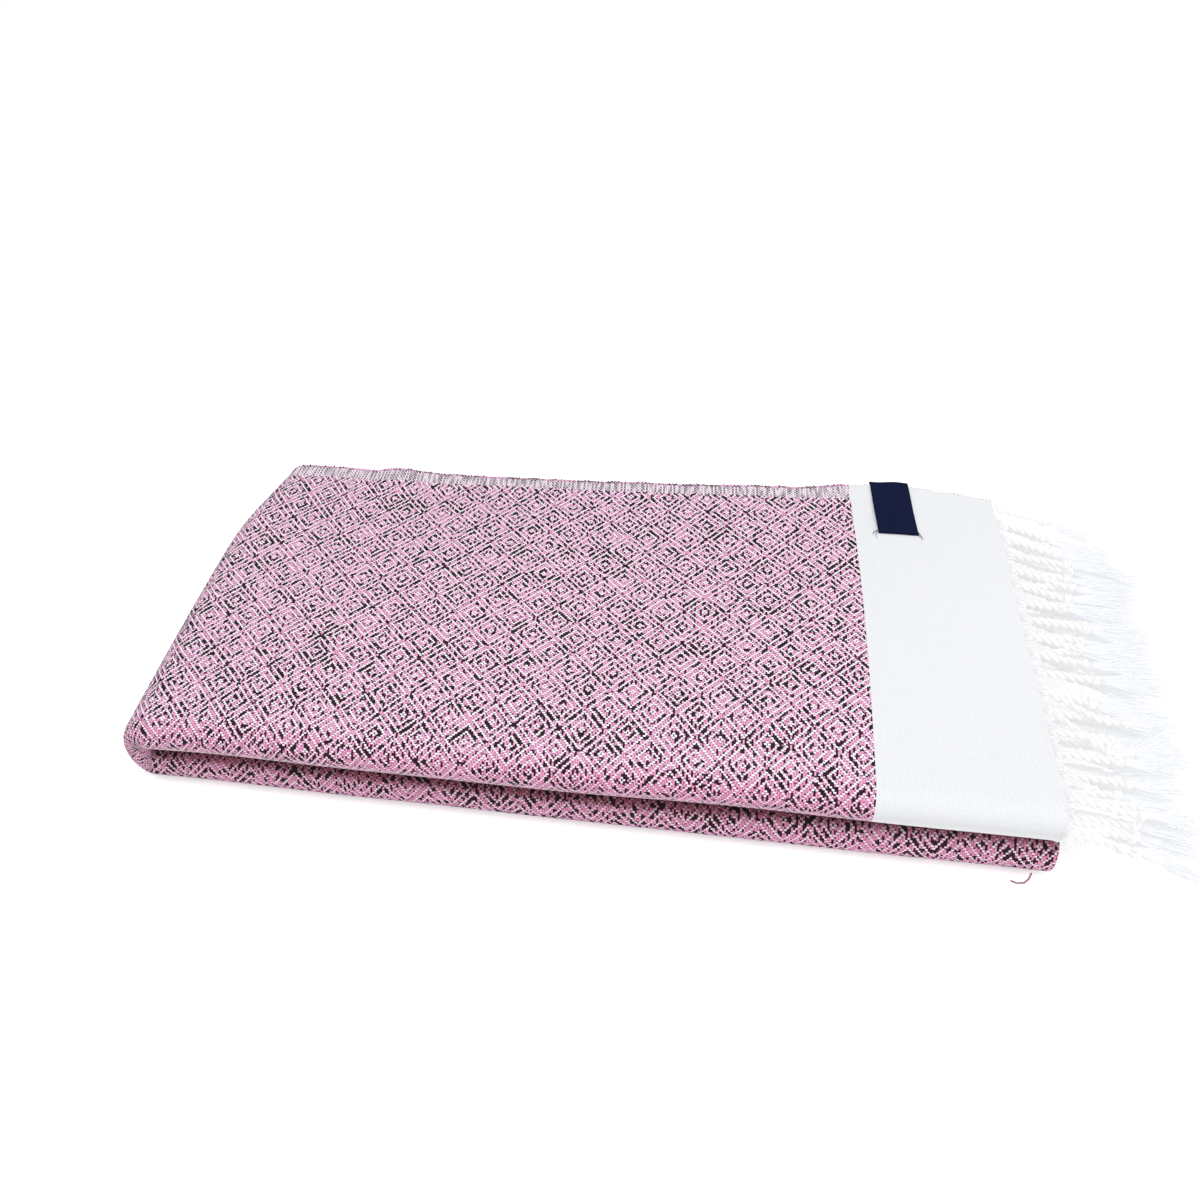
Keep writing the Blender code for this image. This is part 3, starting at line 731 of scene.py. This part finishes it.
class YarnMesh:
    """Tubes of yarn gathered into one mesh, with metres along and turns around as its UV map."""

    def __init__(self):
        self.points, self.quads, self.turns, self.kinds, self.count = [], [], [], [], 0

    def add(self, path, radii, sides, kind):
        """A tube with closed ends along a path of points. Its kind is a number for the material to read."""
        path = np.array(path)
        radii = np.broadcast_to(radii, len(path))
        steps = np.diff(path, axis=0)
        lengths = np.concatenate([[0.0], np.cumsum(np.linalg.norm(steps, axis=1))])
        ways = np.gradient(path, axis=0)
        ways /= np.linalg.norm(ways, axis=1, keepdims=True)
        across = np.cross(ways[0], (0.0, 0.3, 1.0))
        angles = 2 * np.pi * np.arange(sides) / sides
        cosines, sines = np.cos(angles)[:, None], np.sin(angles)[:, None]
        for spot, way, radius in zip(path, ways, radii):
            across = across - way * across.dot(way)
            across /= np.linalg.norm(across)
            self.points.append(spot + radius * (cosines * across + sines * np.cross(way, across)))
        index = self.count + np.arange(len(path) * sides).reshape(len(path), sides)
        turned = np.roll(index, -1, axis=1)
        self.quads += np.stack([index[:-1], turned[:-1], turned[1:], index[1:]], -1).reshape(-1, 4).tolist()
        here = np.broadcast_to(lengths[:-1, None], (len(path) - 1, sides))
        there = np.broadcast_to(lengths[1:, None], (len(path) - 1, sides))
        left = np.broadcast_to(np.arange(sides) / sides, here.shape)
        right = left + 1 / sides
        self.turns.append(np.stack([here, left, here, right, there, right, there, left], -1).reshape(-1, 2))
        for ring, length in ((index[0, ::-1], lengths[0]), (index[-1], lengths[-1])):
            self.quads.append(ring.tolist())
            self.turns.append(np.full((sides, 2), (length, 0.0)))
        self.kinds.append(np.full(index.size, kind))
        self.count += index.size

    def finish(self, name, material):
        data = bpy.data.meshes.new(name)
        data.from_pydata(np.concatenate(self.points).tolist(), [], self.quads)
        data.uv_layers.new(name="yarn_turns").uv.foreach_set(
            "vector", np.concatenate(self.turns).astype(np.float32).ravel())
        add_mark(data, "kind", np.concatenate(self.kinds))
        data.shade_smooth()
        data.materials.append(material)
        piece = bpy.data.objects.new(name, data)
        bpy.context.scene.collection.objects.link(piece)
        return piece


def strand_route(root, tip, to_knot, to_tip, wave, phase):
    """A strand's middle line by the distance out of the hem: it leaves level and sinks to its tip."""
    def place(out):
        fall = smooth(out, FALL_START, FALL_END)
        sway = to_knot * smooth(out, 0.0, KNOT_OUT) + to_tip * smooth(out, KNOT_OUT * 0.6, FALL_END)
        sway += wave * (math.sin(phase + 95 * out) - math.sin(phase)) * smooth(out, 0.0, 0.03)
        return Vector((root[0] + out, root[1] + sway, root[2] + (tip - root[2]) * fall))
    return place


def grow_rope(yarn, place, knot_out, draw):
    """The two plies, twisted round each other from the hem to the knot, and the knot's own turns."""
    turn = draw.uniform(0, 2 * math.pi)
    first = STRAND_START * 0.3
    outs = [first + (knot_out - first) * k / ROPE_STEPS for k in range(ROPE_STEPS + 1)]
    for ply in (0.0, math.pi):
        path = []
        for out in outs:
            angle = turn + ply + 2 * math.pi * out / TWIST_LENGTH
            tight = PLY_OFFSET * smooth(out, -0.004, 0.008)
            path.append(place(out) + Vector((0.0, math.cos(angle), math.sin(angle))) * tight)
        swell = [PLY_RADIUS * (0.7 + 0.3 * smooth(out, 0.0, 0.012)) for out in outs]
        yarn.add(path, swell, 6, 0.0)

    middle = place(knot_out)
    way = (place(knot_out + 0.002) - middle).normalized()
    beside = way.cross(Vector((0, 0, 1))).normalized()
    above = beside.cross(way)
    loop = []
    for k in range(KNOT_STEPS + 1):
        angle = turn + 2 * math.pi * KNOT_TURNS * k / KNOT_STEPS
        along = 0.0016 * math.sin(2 * math.pi * k / KNOT_STEPS - 0.6) + 0.0008 * (2 * k / KNOT_STEPS - 1)
        around = beside * math.cos(angle) + above * math.sin(angle)
        loop.append(middle + way * along + around * KNOT_LOOP_RADIUS)
    yarn.add(loop, KNOT_YARN_RADIUS, 6, 0.2)


def grow_fan(yarn, place, root, draw):
    """The warp ends that leave the hem side by side and come together in the rope."""
    spread = PACKET_DEPTH / STRANDS_PER_LAYER * 0.5
    start = place(STRAND_START)
    for k in range(FAN_ENDS):
        share_out = k / (FAN_ENDS - 1) * 2 - 1
        side = share_out * spread * draw.uniform(0.9, 1.05)
        foot = Vector((root[0] - 0.0012, root[1] + side, root[2] + draw.uniform(-0.0002, 0.0003)))
        goal = start + Vector((draw.uniform(0.0, 0.003), share_out * PLY_OFFSET, 0.0))
        path = [foot + (goal - foot) * share + Vector((0.0, side * 0.45 * math.sin(math.pi * share), 0.0))
                for share in (0.0, 0.3, 0.65, 1.0)]
        yarn.add(path, FAN_YARN_RADIUS, 3, 0.7)


def grow_loose_ends(yarn, place, knot_out, loose, draw):
    """The frayed yarns below the knot, side by side like a soft brush."""
    lean = draw.uniform(-0.005, 0.005)
    turn = draw.uniform(0, 2 * math.pi)
    for k in range(LOOSE_YARNS):
        out_share = math.sqrt((k + 0.5) / LOOSE_YARNS)
        angle = NEXT_YARN_ANGLE * k + turn
        off_y, off_z = out_share * math.cos(angle), out_share * math.sin(angle)
        length = loose * draw.uniform(0.72, 1.06)
        curl, phase = draw.uniform(0.0002, 0.0011), draw.uniform(0, 2 * math.pi)
        path = []
        for step in range(LOOSE_POINTS):
            gone = length * step / (LOOSE_POINTS - 1)
            width = LOOSE_START + (LOOSE_SPREAD - LOOSE_START) * smooth(gone, -0.006, 0.046)
            spot = place(knot_out + gone)
            spot.y += off_y * width + lean * (gone / loose) ** 2
            spot.y += curl * (math.sin(phase + gone * 170) - math.sin(phase))
            spot.z += off_z * width * LOOSE_FLATNESS + curl * 0.5 * math.cos(phase + gone * 140)
            spot.z = max(spot.z, LOOSE_YARN_RADIUS + FLOOR_CLEARANCE)
            path.append(spot)
        thinner = np.linspace(0.0, 1.0, LOOSE_POINTS) ** 2
        yarn.add(path, LOOSE_YARN_RADIUS * (1 - 0.55 * thinner), 3, 1.0)


def make_fringe(name, side, material, strays=()):
    """All strands of one end of the cloth: side is 1 for the end in the outer ply, -1 for the inner one."""
    draw = random.Random(name)
    yarn = YarnMesh()
    stray_at = {row[0]: row[1:] for row in strays}
    places = {row[0]: (row[1], row[2]) if side > 0 else (row[3], row[4]) for row in STRAND_PLACES}
    for stretch in SECTION:
        title, kind = stretch[0], stretch[1]
        if title not in places:
            continue
        lane, tip = places[title]
        shares = [0.5]
        if kind == "flat":
            spots = [FRONT_Y + PACKET_DEPTH / STRANDS_PER_LAYER * (k + (lane + 0.5) / 4)
                     for k in range(STRANDS_PER_LAYER)]
            shares = [(spot - stretch[2]) / (stretch[3] - stretch[2]) for spot in spots]
            shares = [share for share in shares if 0 < share < 1]
        for number, share in enumerate(shares):
            y, height, out_y, out_h = section_point(stretch, share)
            root = lay(0.0, y + half_pitch * side * out_y, height + half_pitch * side * out_h)
            to_knot, to_tip, longer, loose = (draw.gauss(0, 0.0025), draw.gauss(0, 0.0035),
                                              draw.gauss(0, 0.0030), draw.uniform(0.9, 1.08))
            if title == "top" and number in stray_at:
                to_knot, to_tip, longer, loose = stray_at[number]
            low = tip * (1 - BACK_DROOP * smooth(root[1], BACK_Y - BACK_DROOP_WIDTH, BACK_Y))
            place = strand_route(root, low + draw.uniform(-0.0015, 0.0015), to_knot, to_tip,
                                 draw.uniform(0.0, 0.0014), draw.uniform(0, 2 * math.pi))
            grow_fan(yarn, place, root, draw)
            grow_rope(yarn, place, KNOT_OUT + longer, draw)
            loose *= 1 - FRONT_SHORTER * (1 - smooth(root[1], FRONT_Y + 0.02, FRONT_Y + 0.09))
            grow_loose_ends(yarn, place, KNOT_OUT + longer + 0.001, LOOSE_LENGTH * loose, draw)
    return yarn.finish(name, material)


# Strands of the top layer that lie out of line, counted from the front: how far each goes sideways by its
# knot and again by its tip, how much longer its rope is, and its loose length as a share of the usual.
STRAYS = (
    # number  to_knot   to_tip    longer    loose
    (16,      0.003,    0.002,    0.002,    0.80),
    (15,      -0.002,   -0.003,   -0.004,   0.85),
    (5,       -0.013,   0.001,    0.008,    0.35),
    (4,       -0.022,   0.014,    -0.004,   0.80),
    (1,       0.002,    0.003,    0.001,    0.95),
    (0,       -0.002,   -0.001,   0.003,    0.80),
)


def make_twist_group():
    """The fine fibres that wind round a yarn: 1 on top of them and 0 between."""
    tree, given, result = make_group(
        "yarn_twist", [("Yarn", "Vector"), ("Pitch", "Float")], [("Fibre", "Float")])
    turns = split_vector(tree, given["Yarn"])
    twist = work(tree, "ADD", work(tree, "DIVIDE", turns["X"], given["Pitch"]), turns["Y"])
    wave = work(tree, "SINE", work(tree, "MULTIPLY", twist, 10 * math.pi))
    tree.links.new(work(tree, "MULTIPLY_ADD", wave, 0.5, 0.5), result["Fibre"])
    return tree


twist_group = make_twist_group()

ROPE_LIGHT = (0.455, 0.455, 0.452, 1.0)
ROPE_GROOVE_SHADE = (0.425, 0.422, 0.415, 1.0)
LOOSE_LIGHT = (0.43, 0.435, 0.445, 1.0)
LOOSE_GROOVE_SHADE = (0.41, 0.415, 0.425, 1.0)
ROPE_PAINTED_GLOW = (0.475, 0.473, 0.468, 1.0)   # painted light: the yarn glows, so its shaded sides and the gaps between strands stay nearly as bright as its lit tops
LOOSE_PAINTED_GLOW = (0.50, 0.507, 0.525, 1.0)

yarn_paint, tree, shader = new_paint("white_cotton_yarn", 0.95, 0.2)
fibre = place_group(tree, twist_group, Yarn=uv_socket(tree, "yarn_turns"), Pitch=0.0042)["Fibre"]
frayed = mark_socket(tree, "kind")
pile = tree.nodes.new("ShaderNodeTexNoise")
pile.inputs["Scale"].default_value = 260.0
pile.inputs["Detail"].default_value = 2.0
tree.links.new(tree.nodes.new("ShaderNodeTexCoord").outputs["Object"], pile.inputs["Vector"])
white = mix_colours(tree, frayed, ROPE_LIGHT, LOOSE_LIGHT)
# Painted warm shade: the yarn turns a darker cream between the fibres of its twist, and also in random
# patches.
groove_shade = mix_colours(tree, frayed, ROPE_GROOVE_SHADE, LOOSE_GROOVE_SHADE)
on_fibre = work(tree, "MULTIPLY_ADD", fibre, 0.5, work(tree, "MULTIPLY", pile.outputs[0], 0.5))
tree.links.new(mix_colours(tree, on_fibre, groove_shade, white), shader.inputs["Base Color"])
# Painted light: the yarn glows by itself, and its base colours are kept low to leave room for the glow.
tree.links.new(mix_colours(tree, frayed, ROPE_PAINTED_GLOW, LOOSE_PAINTED_GLOW), shader.inputs["Emission Color"])
shader.inputs["Emission Strength"].default_value = 1.0
twisted = work(tree, "SUBTRACT", 1.0, frayed)
add_bump(tree, shader, work(tree, "MULTIPLY", fibre, twisted), 0.0001, 0.5)

outer_fringe = make_fringe("outer_fringe", 1.0, yarn_paint, STRAYS)
inner_fringe = make_fringe("inner_fringe", -1.0, yarn_paint)
for piece, node in ((outer_fringe, "fringe_outer_end"), (inner_fringe, "fringe_inner_end")):
    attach(piece, "root")
    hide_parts(node)


# ---- The selvedge loops ----
# Along both selvedges the weft turns back in small loops, pink and black like the weft, and white in the
# bands. They are the weft itself and are held by the edge threads. One thread end hangs out at a corner.

LOOP_PITCH = 2 * PICK_PITCH
LOOP_YARN_RADIUS = 0.00042
LOOP_REACH = (0.0003, 0.0011)  # the shortest and longest loop
LOOP_POINTS = 6
LOOP_FOOT = 0.0011             # the loops come out of the cloth this far in from its edge
DARK_RUN = 5                   # loops in a row that are mostly of one colour
DARK_SHARES = (0.25, 0.45, 0.85)
SKIPPED = 0.12                 # share of the loops that are pulled tight and don't show
THREAD_END = (
    # left    forward  height
    (0.0000,  0.0000,  0.0035),
    (0.0010,  0.0022,  0.0016),
    (0.0032,  0.0040,  0.0006),
    (0.0066,  0.0046,  0.0005),
    (0.0095,  0.0035,  0.0005),
)

draw = random.Random("selvedge loops")
yarn = YarnMesh()
for edge, side in ((0, 1.0), (0, -1.0), (-1, 1.0), (-1, -1.0)):
    y, height, out_y, out_h = stations[edge]
    mostly_dark = 0.5
    for number in range(int(STRIP_END / LOOP_PITCH)):
        run = number * LOOP_PITCH
        outwards, lift = stray(run, 0.0) if (edge, side) == (0, 1.0) else (0.0, 0.0)
        if number % DARK_RUN == 0:
            mostly_dark = draw.choice(DARK_SHARES)
        reach, skip = draw.uniform(*LOOP_REACH), draw.random()
        kind = 2.0 if run < BAND_LENGTH else float(draw.random() < mostly_dark)
        if kind < 2.0 and skip < SKIPPED:
            continue
        path = []
        for k in range(LOOP_POINTS):
            angle = math.pi * k / (LOOP_POINTS - 1)
            spot = lay(run + LOOP_PITCH * 0.75 * k / (LOOP_POINTS - 1),
                       y + outwards + (reach + LOOP_FOOT) * math.sin(angle) - LOOP_FOOT,
                       height + half_pitch * side * out_h + lift + CLOTH_THICKNESS * 0.55 * math.cos(angle))
            path.append((spot[0], spot[1], max(spot[2], LOOP_YARN_RADIUS + FLOOR_CLEARANCE)))
        yarn.add(path, LOOP_YARN_RADIUS, 4, kind)
corner_x, corner_y = lay(STRIP_END - 0.008, FRONT_Y, 0.0)[:2]
yarn.add([(corner_x - left, corner_y - forward + 0.001, height) for left, forward, height in THREAD_END],
         LOOP_YARN_RADIUS, 5, 0.6)

loop_paint, tree, shader = new_paint("weft_yarn", 0.9, 0.25)
kind = mark_socket(tree, "kind")
fibre = place_group(tree, twist_group, Yarn=uv_socket(tree, "yarn_turns"), Pitch=0.0012)["Fibre"]
pink = mix_colours(tree, fibre, WEFT_PINK, WEFT_PALE)
weft = mix_colours(tree, work(tree, "MINIMUM", kind, 1.0), pink, WEFT_BLACK)
in_band = work(tree, "MAXIMUM", work(tree, "SUBTRACT", kind, 1.0), 0.0)
tree.links.new(mix_colours(tree, in_band, weft, BAND_WHITE), shader.inputs["Base Color"])
add_bump(tree, shader, fibre, 0.00003)

loops = yarn.finish("selvedge_loops", loop_paint)
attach(loops, "root")


# ---- The label ----
# A narrow navy ribbon label. It lies on the white band, is folded over the selvedge, and is stitched down
# across its front end with navy thread, whose cut ends stick out at both corners. Nothing is woven on it.

LABEL_WIDTH = 0.0232
LABEL_FROM_HEM = 0.0500
LABEL_FRONT = 0.0425           # from the back edge to the label's front end
LABEL_UNDER = 0.012
LABEL_THICKNESS = 0.0005
LABEL_LIFT = 0.0011            # its middle lies this far above the cloth's
LABEL_LOOP = 0.0016            # radius of its fold round the selvedge
LABEL_SKEW = 0.055             # its front end is shifted towards the hem, for each metre from the back edge
LABEL_FOLD_Y = BACK_Y + 0.001
LABEL_COLUMNS = 8

on_top = 3.5 * LAYER_PITCH
label_path = [(LABEL_FOLD_Y - LABEL_FRONT * (1 - k / 16), on_top + LABEL_LIFT) for k in range(17)]
for k in range(1, 10):
    angle = math.pi / 2 - math.pi * k / 10
    label_path.append((LABEL_FOLD_Y + 1.5 * LABEL_LOOP * math.cos(angle),
                       on_top + LABEL_LIFT * math.sin(angle)))
label_path += [(LABEL_FOLD_Y - LABEL_UNDER * k / 5, on_top - LABEL_LIFT) for k in range(6)]
label_rows, label_places = [], []
for j in range(LABEL_COLUMNS + 1):
    row, place = [], []
    travelled = 0.0
    for index, (y, height) in enumerate(label_path):
        across = LABEL_WIDTH * j / LABEL_COLUMNS
        run = LABEL_FROM_HEM + across - LABEL_SKEW * (BACK_Y - y)
        if index:
            travelled += math.dist(label_path[index - 1], (y, height))
        edge_lift = 0.00015 * math.sin(9 * j / LABEL_COLUMNS + 130 * y)
        outwards, lift = stray(run, max(BACK_Y - y, 0.0))
        row.append(lay(run, y + outwards, height + edge_lift + lift))
        place.append((travelled, across))
    label_rows.append(row[::-1])
    label_places.append(place[::-1])
label = sheet_mesh("woven_label", label_rows[::-1], LABEL_THICKNESS, label_places[::-1])

NAVY_DEEP = (0.0010, 0.0028, 0.020, 1.0)
NAVY = (0.0045, 0.0100, 0.052, 1.0)
RIB_PITCH = 0.00042
CROSS_RIB_PITCH = 0.00060

label_paint, tree, shader = new_paint("navy_ribbon", 0.6, 0.06)
metres = split_vector(tree, uv_socket(tree, "cloth_metres"))
rib = work(tree, "SINE", work(tree, "MULTIPLY", metres["X"], 2 * math.pi / RIB_PITCH))
cross_rib = work(tree, "SINE", work(tree, "MULTIPLY", metres["Y"], 2 * math.pi / CROSS_RIB_PITCH))
relief = work(tree, "ADD", rib, work(tree, "MULTIPLY", cross_rib, 0.5))
navy = mix_colours(tree, ramp(tree, relief, -1.5, 1.5), NAVY_DEEP, NAVY)
tree.links.new(navy, shader.inputs["Base Color"])
add_bump(tree, shader, relief, 0.00006)
label.data.materials.append(label_paint)

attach(label, "root")
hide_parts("label")

STITCHES = 11
STITCH_PITCH = 0.0020
STITCH_LENGTH = 0.0014
STITCH_FROM_END = 0.0021
THREAD_RADIUS = 0.00016
STITCH_POINTS = (
    # share  above_ribbon
    (-0.10,  -0.0003),
    (0.15,   0.0001),
    (0.50,   0.0002),
    (0.85,   0.0001),
    (1.10,   -0.0003),
)
THREAD_TAILS = (
    # across        beside   forward   bend
    (0.0,           -0.0030, 0.0022,   0.0011),
    (0.0,           -0.0012, 0.0042,   -0.0008),
    (LABEL_WIDTH,   0.0034,  0.0016,   0.0012),
    (LABEL_WIDTH,   0.0014,  0.0040,   0.0009),
)


def on_label(across, from_end, above):
    """A place on the label's top: across it, back from its front end, and above its ribbon."""
    y = LABEL_FOLD_Y - LABEL_FRONT + from_end
    run = LABEL_FROM_HEM + across - LABEL_SKEW * (BACK_Y - y)
    return lay(run, y, on_top + LABEL_LIFT + LABEL_THICKNESS / 2 + above)


thread = YarnMesh()
first_stitch = (LABEL_WIDTH - (STITCHES - 1) * STITCH_PITCH - STITCH_LENGTH) / 2
for k in range(STITCHES):
    start = first_stitch + k * STITCH_PITCH
    stitch = [on_label(start + STITCH_LENGTH * share, STITCH_FROM_END, above)
              for share, above in STITCH_POINTS]
    thread.add(stitch, THREAD_RADIUS, 6, 0.0)
for across, beside, forward, bend in THREAD_TAILS:
    tail = []
    for k in range(8):
        share = k / 7
        drop = -LABEL_LIFT * smooth(share, 0.1, 0.7)
        tail.append(on_label(across + beside * share + bend * math.sin(math.pi * share),
                             STITCH_FROM_END * (1 - share) - forward * share, drop + THREAD_RADIUS))
    thread.add(tail, THREAD_RADIUS, 5, 0.0)

thread_paint, tree, shader = new_paint("navy_thread", 0.45, 0.35)
fibre = place_group(tree, twist_group, Yarn=uv_socket(tree, "yarn_turns"), Pitch=0.0010)["Fibre"]
tree.links.new(mix_colours(tree, fibre, NAVY_DEEP, NAVY), shader.inputs["Base Color"])
add_bump(tree, shader, fibre, 0.00003)

label_thread = thread.finish("label_thread", thread_paint)
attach(label_thread, "root")
